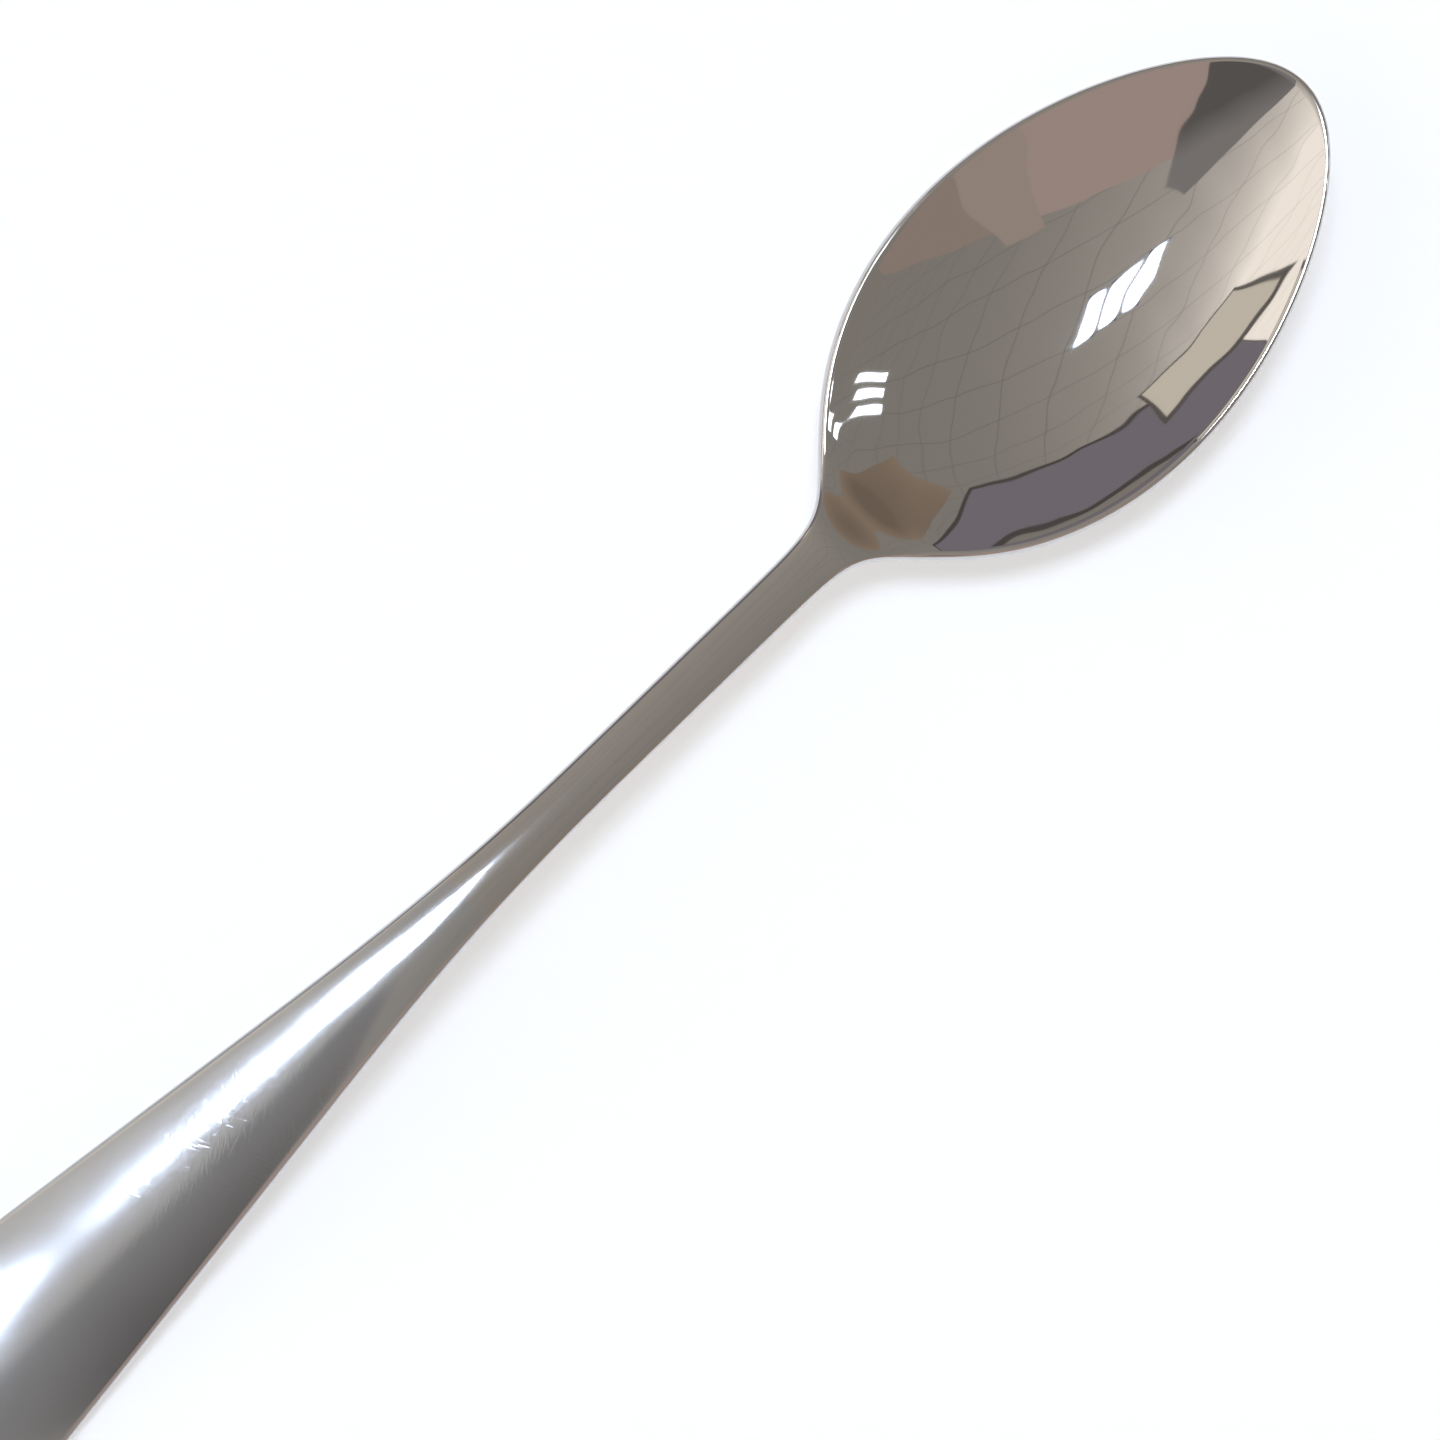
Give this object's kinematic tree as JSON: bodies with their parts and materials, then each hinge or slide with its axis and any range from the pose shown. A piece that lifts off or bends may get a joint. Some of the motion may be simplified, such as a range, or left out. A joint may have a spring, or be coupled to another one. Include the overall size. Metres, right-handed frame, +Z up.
{
  "type": "coffee spoon",
  "caption": "Polished steel coffee spoon: a pointed egg-shaped bowl, a slim arched stem and a crowned handle that widens to a round flat-backed end.",
  "frame": {"origin": "on the surface that the spoon lies on, under the middle of its length", "axes": "+X from the handle's end to the bowl's tip, +Y across the spoon, +Z up out of the open bowl"},
  "size_m": [0.132, 0.0246, 0.009],
  "materials": {
    "mirror_steel": "mirror-polished stainless steel, with faint wiping marks",
    "worn_steel": "polished stainless steel dulled by fine handling scratches along the handle"
  },
  "bodies": {
    "root": {"bowl": "mirror_steel", "stem": "mirror_steel", "handle": "worn_steel"}
  },
  "joints": []
}
